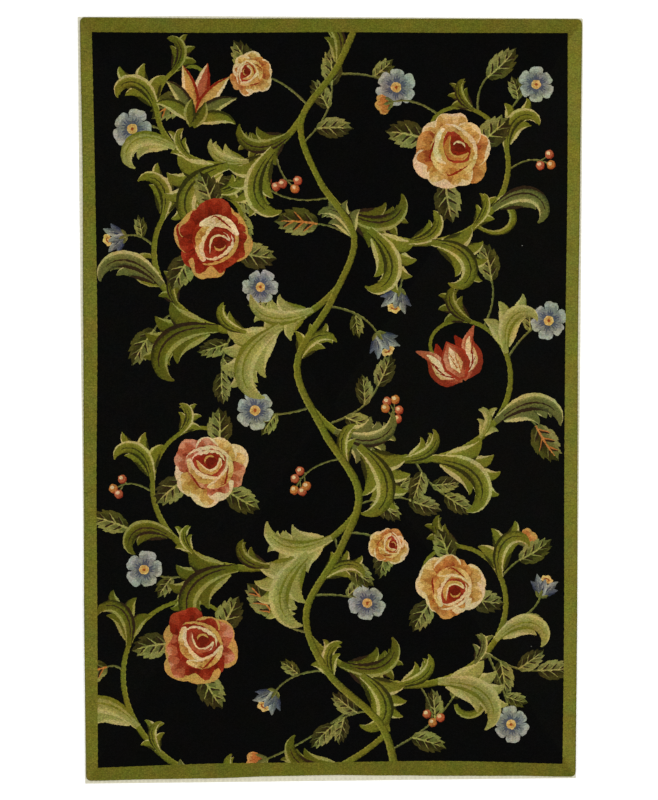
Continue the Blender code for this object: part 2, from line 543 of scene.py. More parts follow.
def lobe(line, width, lit, yarns, foot):
    """A plump pointed stroke in three yarns, with a bright edge and a dark one."""
    path = Path(line)
    body, light, dark = yarns
    widths = (foot, 0.5 + foot / 2, 1.0, 0.9, 0.58, 0.03)
    shapes = [stripe(path, width, widths, body, across(path, width / 2, lit, 0.0, 1.0))]
    shares = np.linspace(0.10, 0.99, 12)
    half = np.interp(shares, np.linspace(0, 1, 6), width * np.array(widths)) / 2
    swelling = np.sin(np.linspace(0.08, 1, 12) * math.pi) ** 0.5
    for side, family, thick in ((lit, light, 0.2), (-lit, dark, 0.17)):
        shapes.append(Shape(band(path, shares, half, side, width * thick * swelling), family, 0.6))
    return shapes


def palmette(size):
    """A fan of pointed petals in a green cup, pointing right."""
    shapes = []
    for lean, length, width, yarns in PALMETTE_PETALS:
        for side in (1, -1)[: 2 if lean else 1]:
            line = scroll(0j, side * lean * 0.7, size * length, side * lean * 0.9, 0.8)
            shapes += lobe(line, size * width, side, yarns, 0.3)
    for side in (1, -1):
        line = scroll(-0.05 * size, side * 34, size * 0.46, -side * 44, 0.2)
        shapes += lobe(line, size * 0.2, side, ("olive", "pale", "moss"), 0.5)
    return shapes


# ---- Scrolling leaves ----

PEEL = 16.0  # the angle at which a lobe leaves its leaf's line


def banded(path, size, widths, lit, yarns, bright, dark=0.2):
    """A plump stroke in three yarns: a light strip along one side, a shaded one along the other."""
    body, light, shade = yarns
    widths = size * np.array(widths)
    shares = np.linspace(0, 1, max(8, round(path.length / STEP)) + 1)
    half = np.interp(shares, np.linspace(0, 1, len(widths)), widths) / 2
    over = np.clip(np.sin(shares * math.pi * 0.94 + 0.16), 0, 1) ** 0.5
    under = np.clip(np.sin(np.clip(shares * 1.5, 0, 1) * math.pi), 0, 1) ** 0.5
    tone = across(path, max(widths) / 2, lit, 0.05, 1.0)
    return [Shape(band(path, shares, half, 1, 2 * half), body, tone),
            Shape(band(path, shares, half, -lit, 2 * half * dark * under), shade, 0.6),
            Shape(band(path, shares, half, lit, 2 * half * bright * over), light, 0.5)]


def finger(path, share, side, length, curl, width, lit, yarns):
    """A lobe that peels off a leaf's line: it sets out along the line and then curls away."""
    heading = path.turned(share) + side * PEEL
    line = scroll(path.at(share), heading, length, side * (curl - PEEL), 0.6)
    return banded(Path(line), width, (0.62, 0.9, 1.0, 0.92, 0.70, 0.40, 0.05), lit, yarns, 0.22)


def acanthus(points, width, lobes, lit, yarns, sides, curl):
    """A scrolling leaf along a line: a broad rib, curled at its tip, with hooked lobes that peel off it."""
    path = Path(points)
    shapes = []
    for i in reversed(range(lobes)):
        share = 0.10 + 0.46 * i / (lobes - 1)
        length = width * (1.0 - 0.16 * i)
        for number, side in enumerate(sides):
            turn = curl * (1 - 0.12 * (i % 2)) * (1 - 0.15 * number)
            reach = length * (1 - 0.14 * number)
            shapes += finger(path, share + 0.05 * number, side, reach, turn, length * 0.44, side * lit, yarns)
    rib = (0.15, 0.22, 0.33, 0.40, 0.40, 0.34, 0.24, 0.03)
    shapes += banded(path, width, rib, lit, yarns, 0.2, 0.22)
    crease = Path(path.at(np.linspace(0.12, 0.8, 20), -lit * width * 0.02))
    return shapes + [stripe(crease, width, (0.02, 0.05, 0.02), yarns[2], 0.7)]


def hook(points, width):
    """A tendril that swells towards its curled end."""
    widths = (0.45, 0.5, 0.7, 0.9, 1.0, 0.95, 0.5)
    return banded(Path(points), width, widths, 1, ("leaf", "pale", "moss"), 0.3)


# ---- The layout: one vine winds up the rug, and scrolls leave it round their flowers ----


def volute(start, centre, sweep, radius):
    """A spiral from a point, round a centre by so many degrees, that ends under the flower there."""
    first = start - centre
    share = np.linspace(0, 1, 160)
    reach = (radius + (abs(first) - radius) * (1 - share) ** 3) * (1 - 0.5 * share**10)
    return even(centre + reach * np.exp(1j * (np.angle(first) + np.radians(sweep) * share)))


VINE = smooth(150 - 860j, 110 - 740j, -10 - 620j, -60 - 480j, 20 - 330j, 60 - 200j, -20 - 60j, -80 + 90j,
              0 + 240j, 50 + 380j, -30 + 510j, -70 + 640j, 10 + 760j, 60 + 870j)

Scroll = collections.namedtuple("Scroll", "share centre sweep radius flower turn size")
SCROLLS = {
    "low left": Scroll(0.05, -310 - 560j, -330, 104, "red rose", -20, 90),
    "low right": Scroll(0.20, 270 - 420j, 340, 88, "gold rose", 30, 80),
    "mid left": Scroll(0.36, -280 - 150j, -300, 104, "pink rose", 10, 86),
    "mid right": Scroll(0.50, 280 + 100j, 330, 90, "tulip", 24, 104),
    "high left": Scroll(0.655, -270 + 380j, -335, 100, "dark rose", 30, 90),
    "high right": Scroll(0.79, 270 + 570j, 310, 110, "peach rose", -40, 93),
    "top left": Scroll(0.875, -300 + 690j, -290, 84, "palmette", 76, 138),
}

# The yarns of a rose's petals, folds and rims, the seed of its unevenness, and whether it is mirrored.
ROSES = {
    "red rose": (("brick", "coral"), ("cream", "gold"), "gold", 0.0, False),
    "dark rose": (("brick", "brick"), ("cream", "gold"), "gold", 1.2, True),
    "gold rose": (("orange", "gold"), ("cream", "gold"), "cream", 2.0, True),
    "pink rose": (("coral", "gold"), ("cream", "gold"), "cream", 4.0, False),
    "peach rose": (("gold", "orange"), ("gold", "cream"), "cream", 5.3, False),
}

# The leaves of a scroll: share of its length, side (1 is outwards), length, width and curl.
SCROLL_LEAVES = (
    (0.09, -1, 170, 84, 120),
    (0.17, 1, 200, 104, 150),
    (0.27, -1, 110, 60, 110),
    (0.35, 1, 210, 106, 170),
    (0.47, -1, 80, 44, 90),
    (0.53, 1, 180, 92, 150),
    (0.70, 1, 150, 80, 150),
    (0.84, 1, 100, 56, 120),
)
VINE_LEAVES = (
    (0.14, -1, 110, 60, 120),
    (0.275, -1, 130, 68, 120),
    (0.43, -1, 110, 60, 110),
    (0.56, -1, 120, 64, 120),
    (0.72, 1, 110, 60, 120),
    (0.94, 1, 120, 64, 120),
)

# The yarns of a scrolling leaf: body, light edge and dark edge. One set is drawn twice as often.
LEAF_YARNS = (("leaf", "straw", "moss"), ("sage", "straw", "plum"), ("leaf", "straw", "moss"),
              ("olive", "pale", "plum"), ("pale", "straw", "leaf"))

# What grows on thin stems: kind, the stem that it leaves, share of that, lean away from it (left is
# positive), length, turn and size.
SPRIGS = (
    ("blue", "vine", 0.93, -50, 150, -40, 46),
    ("leaves", "vine", 0.84, -62, 150, 50, 84),
    ("berries", "vine", 0.77, 62, 170, -60, 10),
    ("turning leaf", "vine", 0.715, 52, 90, 30, 100),
    ("bell", "vine", 0.63, -70, 130, -50, 62),
    ("blue", "vine", 0.50, 80, 130, -40, 46),
    ("berries", "vine", 0.43, 66, 120, 50, 10),
    ("leaves", "vine", 0.37, -60, 120, -40, 80),
    ("blue", "vine", 0.25, -60, 130, -30, 44),
    ("bell", "vine", 0.155, 60, 130, 50, 60),
    ("bud", "vine", 0.10, 78, 250, -16, 50),
    ("leaves", "vine", 0.085, 50, 90, 40, 74),
    ("leaves", "vine", 0.03, -75, 190, 30, 84),
    ("berries", "high right", 0.64, -50, 90, -60, 10),
    ("leaf", "high right", 0.82, -60, 84, -50, 92),
    ("bell", "high right", 0.26, -66, 110, -30, 60),
    ("hook", "high right", 0.47, -70, 150, 210, 17),
    ("leaves", "mid right", 0.30, -60, 110, 30, 76),
    ("turning leaf", "mid right", 0.56, -60, 90, -60, 98),
    ("blue", "mid right", 0.70, -50, 130, -40, 44),
    ("berries", "mid right", 0.18, 66, 120, 40, 10),
    ("berries", "low right", 0.31, -60, 80, -30, 10),
    ("bell", "low right", 0.585, -62, 110, 60, 56),
    ("bud", "low right", 0.72, -50, 84, -50, 44),
    ("hook", "low right", 0.42, -50, 190, -240, 18),
    ("leaves", "high left", 0.30, 70, 100, 30, 72),
    ("bell", "high left", 0.62, 50, 70, 60, 56),
    ("leaf", "high left", 0.44, 60, 80, 40, 96),
    ("hook", "high left", 0.52, 66, 140, -220, 16),
    ("blue", "mid left", 0.40, 44, 176, -60, 44),
    ("berries", "mid left", 0.66, 50, 80, 60, 10),
    ("leaf", "mid left", 0.56, 66, 90, -30, 90),
    ("turning leaf", "low left", 0.66, 60, 40, 60, 90),
    ("leaves", "top left", 0.30, 66, 110, 30, 78),
    ("blue", "top left", 0.62, 40, 70, 60, 46),
    ("berries", "top left", 0.16, 60, 90, 40, 10),
    ("turning leaf", "top left", 0.95, -70, 70, -40, 92),
    ("rosette", "vine", 0.885, 78, 150, 44, 50),
    ("rosette", "vine", 0.335, -66, 100, -44, 46),
    ("blue", "high right", 0.74, -52, 140, -40, 42),
    ("leaves", "low right", 0.50, -84, 130, 40, 84),
    ("leaves", "mid right", 0.06, 60, 150, 50, 80),
    ("blue", "high left", 0.14, -58, 110, -30, 42),
    ("leaf", "mid left", 0.08, 60, 70, 40, 84),
    ("turning leaf", "vine", 0.205, 64, 90, -40, 98),
    ("blue", "low right", 0.50, -112, 180, -20, 44),
    ("leaf", "mid right", 0.80, -84, 110, 40, 90),
    ("leaf", "low right", 0.70, -62, 60, -20, 88),
    ("bud", "high right", 0.93, -74, 110, 50, 40),
)


def leafy(line, rows, out):
    """Scrolling leaves along a stem, no two quite alike."""
    path = Path(line)
    shapes = []
    for i, (share, side, length, width, curl) in enumerate(rows):
        side *= out
        size = luck.uniform(0.9, 1.12)
        turn = side * curl * luck.uniform(0.85, 1.3)
        yarns = luck.choice(LEAF_YARNS)
        start = share + luck.uniform(-0.015, 0.015)
        points = scroll(path.at(start), path.turned(start) + side * 14, length * size, turn)
        lobes = 4 if length > 150 else 3 if length > 90 else 2
        lit = luck.choice((1, -1))
        sides = (side,) if i % 3 == 2 else (side, -side)
        shapes += acanthus(points, width * size, lobes, lit, yarns, sides, luck.uniform(85, 120))
    return shapes


def on_stem(kind, stem, share, lean, size):
    """What lies under a thin stem, and what it carries at its end."""
    if kind == "bud":
        return [], grow(bud(size), stem)
    if kind == "rosette":
        leaf = grow(toothed_leaf(size * 1.7, size, 12, 1, "deep"), stem, 1.0, -60)
        small_rose = rose(("orange", "gold"), ("cream", "gold"), "cream", size, size)
        return [], leaf + put(small_rose, complex(stem.at(1.0)), lean)
    if kind == "leaf":
        return [], grow(toothed_leaf(size, size * 0.56), stem)
    if kind == "turning leaf":
        return [], grow(toothed_leaf(size, size * 0.62, ribs="orange"), stem)
    if kind == "blue":
        leaf = grow(toothed_leaf(size * 1.3, size * 0.8, teeth=4), stem, 0.62, 56)
        return leaf, grow(small_flower(size, 5 + round(share * 10) % 2, lean), stem)
    leaf = grow(toothed_leaf(size * 0.9, size * 0.5, teeth=4), stem, 0.5, -56)
    return leaf, grow(bell(size, lean), stem)


def sprig(kind, path, share, lean, length, turn, size):
    """A thin stem and what grows on it."""
    points = scroll(path.at(share), path.turned(share) + lean, length, turn, 0.6)
    if kind == "berries":
        return berries(points, 5 if length > 100 else 3, size)
    if kind == "leaves":
        return spray(points, size)
    if kind == "hook":
        return hook(points, size)
    behind, ahead = on_stem(kind, Path(points), share, lean, size)
    return behind + stroke(points, THIN_STEM, "sage") + ahead


def flower(kind, size):
    """The large flower that a scroll ends under, drawn round 0."""
    if kind == "tulip":
        return put(tulip(size), -0.45j * size)
    if kind == "palmette":
        return put(palmette(size), -0.4 * size)
    *yarns, seed, mirrored = ROSES[kind]
    return put(rose(*yarns, seed, size), 0, mirror=mirrored)


def compose():
    """The whole pattern, from the back to the front."""
    vine = Path(VINE)
    stems = {name: Path(volute(complex(vine.at(s.share)), s.centre, s.sweep, s.radius))
             for name, s in SCROLLS.items()}
    shapes = []
    for kind, stem, *row in SPRIGS:
        shapes += sprig(kind, stems.get(stem, vine), *row)
    for name, s in SCROLLS.items():
        out = 1 if s.sweep < 0 else -1
        shapes += stroke(stems[name].points, SCROLL_STEM, "leaf", -out)
        shapes += leafy(stems[name].points, SCROLL_LEAVES, out)
    shapes += leafy(VINE, VINE_LEAVES, 1)
    shapes += stroke(VINE, VINE_STEM, "leaf")
    for s in SCROLLS.values():
        if "rose" in s.flower:
            for turn in (s.turn + 60, s.turn + 190, s.turn + 300):
                leaf = toothed_leaf(s.size, s.size * 0.66, 12, 1, "deep")
                shapes += put(leaf, s.centre + polar(turn, s.size * 0.72), turn + 20)
        shapes += put(flower(s.flower, s.size), s.centre, s.turn)
    return shapes


# ---- The pile's mesh: the drawing, cut into triangles that each have one set of yarns ----

FILL_STEP = 7.4  # the spacing of the points between outlines
FILL_ROWS = 0.87  # the spacing of their rows, as a share of that
CLEAR = 0.42  # how near to an outline such a point may be, as a share of FILL_STEP
CLOSEST = 0.4  # how near two points of an outline may be, as a share of STEP
POINTS_AT_ONCE = 2000
MERGE = 0.02  # points nearer to each other than this become one
RIM_ROUND = 3.2  # the rounding of the pile's upper edge
RIM_ROWS = 4
LOOP_LIFT = 0.45  # how much higher some loops stand than others
AREA_LIFT = 0.15  # and whole areas
LOOP_SPREAD = 0.5  # how far the loops at the edge stand out past the line
LIFT_SCALES = (4.1, 90)  # over what distance the height changes: a loop's, and an area's
SPREAD_SCALE = 3.3  # and over what distance the edge does
WOBBLE = 0.95  # how far a motif's hooked outline strays from the drawn line
BORDER_WOBBLE = 0.5  # and how far the border's does
BORDER_PAINTED_LIGHT = (0.74, 0.95, 0.3)  # the border's shades along the left, the right and the ends: painted light, the right side lighter than the left as if lit from the right, and the ends darker
HALF_RUG = 571 + 876j  # half its width and length

# The flat map: its size against half the rug, and the foot's share of it and place in it.
MAP_REACH = 2.1
FOOT_SHARE = 0.1
FOOT_PLACE = 0.06 + 0.1j

# The border's inner edge, by hand and so not quite straight: millimetres from the rug's middle, at
# evenly spaced places along each side, bottom to top and left to right.
FIELD_LEFT = (-541, -539, -538, -533, -535, -539)
FIELD_RIGHT = (536, 537, 535, 535, 537, 535)
FIELD_BOTTOM = (-837, -830, -830, -830, -840)
FIELD_TOP = (838, 838, 841, 841, 842)


def field_outline():
    """The edge between the border and the ground, anticlockwise."""
    rows = []
    for end, heights in ((0, FIELD_BOTTOM), (-1, FIELD_TOP)):
        rows.append(np.linspace(FIELD_LEFT[end], FIELD_RIGHT[end], len(heights)) + 1j * np.array(heights))
    columns = []
    for end, reach in ((0, FIELD_LEFT), (-1, FIELD_RIGHT)):
        columns.append(np.array(reach) + 1j * np.linspace(FIELD_BOTTOM[end], FIELD_TOP[end], len(reach)))
    sides = (rows[0], columns[1], rows[1][::-1], columns[0][::-1])
    return np.concatenate([smooth(*side)[:-1] for side in sides])


def hooked(outline, wobble):
    """A drawn outline as it comes out in yarn: a point for each loop, straying with its neighbours."""
    ring = np.append(outline, outline[0])
    pieces = []
    for a, b in zip(ring, ring[1:]):
        count = max(1, round(abs(b - a) / STEP))
        pieces.append(a + (b - a) * np.arange(count) / count)
    points = np.concatenate(pieces)
    kept = [points[0]]
    for point in points[1:]:
        if abs(point - kept[-1]) > STEP * CLOSEST:
            kept.append(point)
    points = np.array(kept)
    x, y = points.real, points.imag
    # Waves that don't repeat: points near each other stray the same way.
    sideways = np.sin(0.83 * x + 2.1 * np.sin(0.31 * y)) + np.sin(1.37 * y + 1.3)
    upwards = np.sin(0.79 * y + 1.9 * np.sin(0.37 * x)) + np.sin(1.43 * x + 0.6)
    return points + wobble / 2 * (sideways + 1j * upwards)


def inside(outline, points):
    """Which points lie inside an outline, by how it winds round them."""
    a, b = outline, np.roll(outline, -1)
    x, y = points.real[:, None], points.imag[:, None]
    lean = (b.real - a.real) * (y - a.imag) - (x - a.real) * (b.imag - a.imag)
    up = (a.imag <= y) & (b.imag > y) & (lean > 0)
    down = (a.imag > y) & (b.imag <= y) & (lean < 0)
    return up.sum(axis=1) != down.sum(axis=1)


def inside_many(outline, points):
    """Like inside, for so many points that they are taken in turns."""
    parts = np.array_split(points, len(points) // POINTS_AT_ONCE + 1)
    return np.concatenate([inside(outline, part) for part in parts])


class Scatter:
    """Many points, in order of x, so that the few near a shape are quick to find."""

    def __init__(self, points):
        self.order = np.argsort(points.real)
        self.points = points[self.order]

    def within(self, outline):
        """The numbers of the points inside an outline."""
        first, last = np.searchsorted(self.points.real, [outline.real.min(), outline.real.max()])
        near = self.points[first:last]
        rows = np.flatnonzero((near.imag >= outline.imag.min()) & (near.imag <= outline.imag.max()))
        return self.order[first + rows[inside(outline, near[rows])]]


def visible_lines(outlines, field):
    """The points and edges of the outlines that no later shape and no border covers."""
    points = np.concatenate(outlines)
    counts = [len(outline) for outline in outlines]
    owner = np.repeat(np.arange(len(outlines)), counts)
    ends = np.cumsum(counts)
    after = np.arange(len(points)) + 1
    after[ends - 1] = ends - counts
    hidden = np.ones(len(points), bool)
    scatter = Scatter(points)
    hidden[scatter.within(field)] = False
    for number, outline in enumerate(outlines):
        covered = scatter.within(outline)
        hidden[covered[owner[covered] < number]] = True
    edges = [(a, b) for a, b in enumerate(after) if not (hidden[a] and hidden[b])]
    used = sorted({end for edge in edges for end in edge})
    place = {old: new for new, old in enumerate(used)}
    return points[used], [(place[a], place[b]) for a, b in edges]


def fill_points(edge, lines):
    """Loosely spaced points inside an edge, clear of every line."""
    tree = kdtree.KDTree(len(lines))
    for i, point in enumerate(lines):
        tree.insert((point.real, point.imag, 0), i)
    tree.balance()
    grid = []
    for i, y in enumerate(np.arange(edge.imag.min(), edge.imag.max(), FILL_STEP * FILL_ROWS)):
        for x in np.arange(edge.real.min() + FILL_STEP / 2 * (i % 2), edge.real.max(), FILL_STEP):
            stray = complex(luck.uniform(-1, 1), luck.uniform(-1, 1))
            point = complex(x, y) + stray * FILL_STEP / 5
            if tree.find((point.real, point.imag, 0))[2] > FILL_STEP * CLEAR:
                grid.append(point)
    grid = np.array(grid)
    return grid[inside_many(edge, grid)]


def linear(colour):
    """An sRGB byte colour as the linear one that a shader takes."""
    share = np.array(colour) / 255
    return tuple(np.where(share <= 0.04045, share / 12.92, ((share + 0.055) / 1.055) ** 2.4)) + (1.0,)


def unevenness(point, scale, layer):
    """A smooth random number that goes with a place, from about -1 to 1."""
    return noise.noise(Vector((point.real / scale, point.imag / scale, layer)))


def foot_of(node, step):
    """The lower outline of a CAD piece in millimetres, anticlockwise, evenly spaced."""
    corners = [vertex.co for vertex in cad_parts[node].data.vertices]
    base = min(corner.z for corner in corners)
    ring = {complex(round(c.x / MM, 2), round(c.y / MM, 2)) for c in corners if c.z < base + 0.01 * MM}
    ring = sorted(ring, key=cmath.phase)
    return even(ring + ring[:1], step)[:-1]


def closed_ring(start, count):
    """The edges round a ring of points."""
    return [(start + i, start + (i + 1) % count) for i in range(count)]


def cut_top(edge, field, shapes):
    """The pile's top, cut along the border and the pattern: points, triangles and outermost points."""
    lines, line_edges = visible_lines([shape.outline for shape in shapes], field)
    count = len(edge)
    shift = count + len(field)
    edges = closed_ring(0, count) + closed_ring(count, len(field))
    edges += [(a + shift, b + shift) for a, b in line_edges]
    points = np.concatenate([edge, field, lines])
    points = np.append(points, fill_points(edge, points))
    flat = [Vector((point.real, point.imag)) for point in points]
    made, _, faces, sources, _, _ = geometry.delaunay_2d_cdt(flat, edges, [list(range(count))], 1, MERGE)
    rim = [None] * count
    for number, source in enumerate(sources):
        for first in source:
            if first < count:
                rim[first] = number
    return np.array([complex(*point) for point in made]), np.array(faces), rim


def owners(middles, field, shapes):
    """Whose each face is: a shape's number, one past them for the ground, or -1 for the border."""
    scatter = Scatter(middles)
    owner = np.full(len(middles), -1)
    owner[scatter.within(field)] = len(shapes)
    ground = owner == len(shapes)
    for number, shape in enumerate(shapes):
        covered = scatter.within(shape.outline)
        owner[covered[ground[covered]]] = number
    return owner


def lift(point):
    """How far a loop's head is below the tallest ones."""
    loop, area = LIFT_SCALES
    loops = LOOP_LIFT * (0.5 - unevenness(point, loop, 0.0))
    return loops + AREA_LIFT * (0.5 - unevenness(point, area, 3.0))


def add_rim(vertices, rim, foot, inward, floor, roof):
    """Adds the rounded edge and the wall, down from the top's outermost points.

    Gives their faces, the ring of points round the foot, and a place on the flat map for each point.
    """
    spots = [complex(v[0], v[1]) for v in vertices]
    count = len(rim)
    walls = []
    above = rim
    for row in range(1, RIM_ROWS + 2):
        turn = math.pi / 2 * min(1, row / RIM_ROWS)
        drop = RIM_ROUND * (1 - math.cos(turn)) + LOOP_LIFT * 0.5
        height = floor if row > RIM_ROWS else roof - drop * MM
        fresh = list(range(len(vertices), len(vertices) + count))
        for point, way in zip(foot, inward):
            bulge = LOOP_SPREAD * unevenness(point, SPREAD_SCALE, row * 0.9) * (row <= RIM_ROWS)
            at = (point + way * (RIM_ROUND * (1 - math.sin(turn)) - bulge)) * MM
            vertices.append((at.real, at.imag, height))
            spots.append(point * MM - way * (row * 2.0 - RIM_ROUND) * MM)
        for i, j in closed_ring(0, count):
            walls.append((above[i], fresh[i], fresh[j], above[j]))
        above = fresh
    return walls, above, spots


def colour_faces(mesh, corners, owner, shapes):
    """Gives each face its three shades of yarn, and each corner its tone between them."""
    families = [shape.yarns for shape in shapes] + ["black", "border"]
    table = np.array([[linear(shade) for shade in YARNS[family]] for family in families])
    shades = np.tile(table[-1], (len(mesh.polygons), 1, 1))
    shades[: len(owner)] = table[owner]
    for i, name in enumerate(("dark", "middle", "light")):
        mesh.attributes.new(name, "FLOAT_COLOR", "FACE").data.foreach_set("color", shades[:, i].ravel())
    # The border's tones are painted light: its right side lighter than its left, as if lit from the right,
    # and its ends darker.
    beside = abs(corners.real) / HALF_RUG.real > abs(corners.imag) / HALF_RUG.imag
    left, right, ends = BORDER_PAINTED_LIGHT
    tones = np.where(beside, np.where(corners.real < 0, left, right), ends)
    order = np.argsort(owner, kind="stable")
    bounds = np.searchsorted(owner[order], np.arange(len(shapes) + 1))
    for shape, first, last in zip(shapes, bounds, bounds[1:]):
        rows = order[first:last]
        if len(rows):
            spots = corners[rows].ravel()
            value = shape.tone(spots) if callable(shape.tone) else np.full(len(spots), shape.tone)
            tones[rows] = np.clip(value, 0, 1).reshape(-1, 3)
    values = np.full(len(mesh.loops), 0.5)
    values[: tones.size] = tones.ravel()
    mesh.attributes.new("tone", "FLOAT", "CORNER").data.foreach_set("value", values)


def unwrap(mesh, spots):
    """A flat map of the rug, with its wall laid out round it and its foot in a corner."""
    spots = np.array(spots)
    spots /= abs(spots.imag).max() * MAP_REACH
    numbers = np.zeros(len(mesh.loops), int)
    mesh.loops.foreach_get("vertex_index", numbers)
    at = spots[numbers] + (0.5 + 0.5j)
    last = mesh.polygons[-1]
    foot = slice(last.loop_start, last.loop_start + last.loop_total)
    at[foot] = spots[numbers[foot]] * FOOT_SHARE + FOOT_PLACE
    mesh.uv_layers.new(name="OFBake").data.foreach_set("uv", np.column_stack([at.real, at.imag]).ravel())


def make_pile():
    """The wool: one closed mesh, its top cut up by the pattern."""
    low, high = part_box("hooked_pile")
    foot = foot_of("hooked_pile", STEP)
    along = np.roll(foot, -1) - np.roll(foot, 1)
    inward = 1j * along / abs(along)
    field = hooked(field_outline(), BORDER_WOBBLE)
    shapes = [shape._replace(outline=hooked(shape.outline, WOBBLE)) for shape in compose()]
    top, faces, rim = cut_top(foot + inward * RIM_ROUND, field, shapes)
    owner = owners(top[faces].mean(axis=1), field, shapes)
    vertices = [(p.real * MM, p.imag * MM, high.z - lift(p) * MM) for p in top]
    walls, foot_ring, spots = add_rim(vertices, rim, foot, inward, low.z, high.z)
    all_faces = faces.tolist() + walls + [foot_ring[::-1]]
    pile = add_mesh("hooked_wool", vertices, all_faces, wool_material())
    colour_faces(pile.data, top[faces], owner, shapes)
    unwrap(pile.data, spots)
    return pile


# ---- The foundation cloth ----

CLOTH_STEP = 5.0
CLOTH_ROWS = (0.0, 0.6, 3.0, 8.0, 16.0)  # how far in from the edge the cloth's rows of points lie
CLOTH_ROLL = 0.5  # how much the cut edge is rounded
FRAY = 0.35  # how far the cut edge strays inwards
FRAY_SCALE = 7
SAG = 0.12  # how uneven the cloth's upper face is
SAG_SCALE = 25


def cloth_point(point, upper, inset, low, high):
    """Where a point of the cloth's outline lies, so far in from the edge, below or above."""
    stray = FRAY * (1 + unevenness(point, FRAY_SCALE, 1.0)) * math.exp(-inset / 3)
    inward = (inset + stray) * MM
    x = point.real * MM * (1 + inward / low.x)
    y = point.imag * MM * (1 + inward / low.y)
    roll = CLOTH_ROLL if inset == 0 else 0.0
    if not upper:
        return x, y, low.z + roll * MM
    sag = SAG * (1 + unevenness(point, SAG_SCALE, inset / 9))
    return x, y, high.z - (roll + sag) * MM


def make_foundation():
    """The cotton cloth: a thin closed sheet, its cut edge a little uneven."""
    low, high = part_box("foundation")
    outline = foot_of("foundation", CLOTH_STEP)
    count = len(outline)
    levels = [(False, inset) for inset in CLOTH_ROWS[::-1]] + [(True, inset) for inset in CLOTH_ROWS]
    vertices = [cloth_point(point, *level, low, high) for level in levels for point in outline]
    rings = [range(start, start + count) for start in range(0, len(vertices), count)]
    faces = [list(rings[0])[::-1], list(rings[-1])]
    for lower, upper in zip(rings, rings[1:]):
        faces += [(lower[i], lower[j], upper[j], upper[i]) for i, j in closed_ring(0, count)]
    return add_mesh("foundation_cloth", vertices, faces, cotton_material())


def add_mesh(name, vertices, faces, material):
    """A smooth mesh object in the scene."""
    mesh = bpy.data.meshes.new(name)
    mesh.from_pydata(vertices, [], faces)
    mesh.shade_smooth()
    mesh.materials.append(material)
    made = bpy.data.objects.new(name, mesh)
    bpy.context.scene.collection.objects.link(made)
    return made


# ---- Materials ----

LOOP = (4.4, 3.4, 13.0)  # a loop of yarn: its length along its row, the rows' spacing and its height
LOOP_STRAY = 0.72  # how unevenly the loops are hooked
ROW_WANDER = 1.3  # how far a row wanders up and down, in rows
WANDER_SCALE = 16.0  # this scale and those below: how finely a thing changes, per metre
CREVICE_PAINTED_SHADE = 0.76  # how dark the painted shade between two loops is
BRIGHTEN = 1.09  # lifts the colour to make up for that painted shade
SHADE_STEPS = ((0.20, 0.34), (0.66, 0.80))  # the tones where dark turns to middle, and that to light
DITHER = 0.14  # how unevenly the shades of a yarn family are mixed
HUE_DRIFT = (0.62, 0.34, 0.8)  # how unevenly each of red, green and blue is dyed
HUE_SCALE = 20.0
LOOP_HUE = 0.18  # how much of the hue's drift is from loop to loop
LOOP_DYE = 0.08  # how much stronger or weaker one loop is dyed
BATCH_DYE = 0.05  # and a whole batch of yarn
BATCH_SCALE = 14.0
LINT = (112, 112, 104)
LINT_SCALE = 11.0
LINT_SIZE = 0.012  # how big a speck of lint is, as a share of the distance between two
FIBRE_SCALES = (500.0, 1800.0, 500.0)  # along each axis
DOME = -1.7  # how steeply a loop falls away from its top
FIBRE_BUMP = 0.25  # how much the fibres stand out, next to that
WOOL_BUMP = 0.0015

COTTON = (207, 203, 180)
THREADS_PER_METRE = 620
WEAVE_PAINTED_SHADE = 0.86  # how dark the painted shade between two threads is
SLUB_SCALE = 90.0
SLUB_SHADE = 0.05  # how much lighter or darker a slub is
COTTON_BUMP = 0.0005


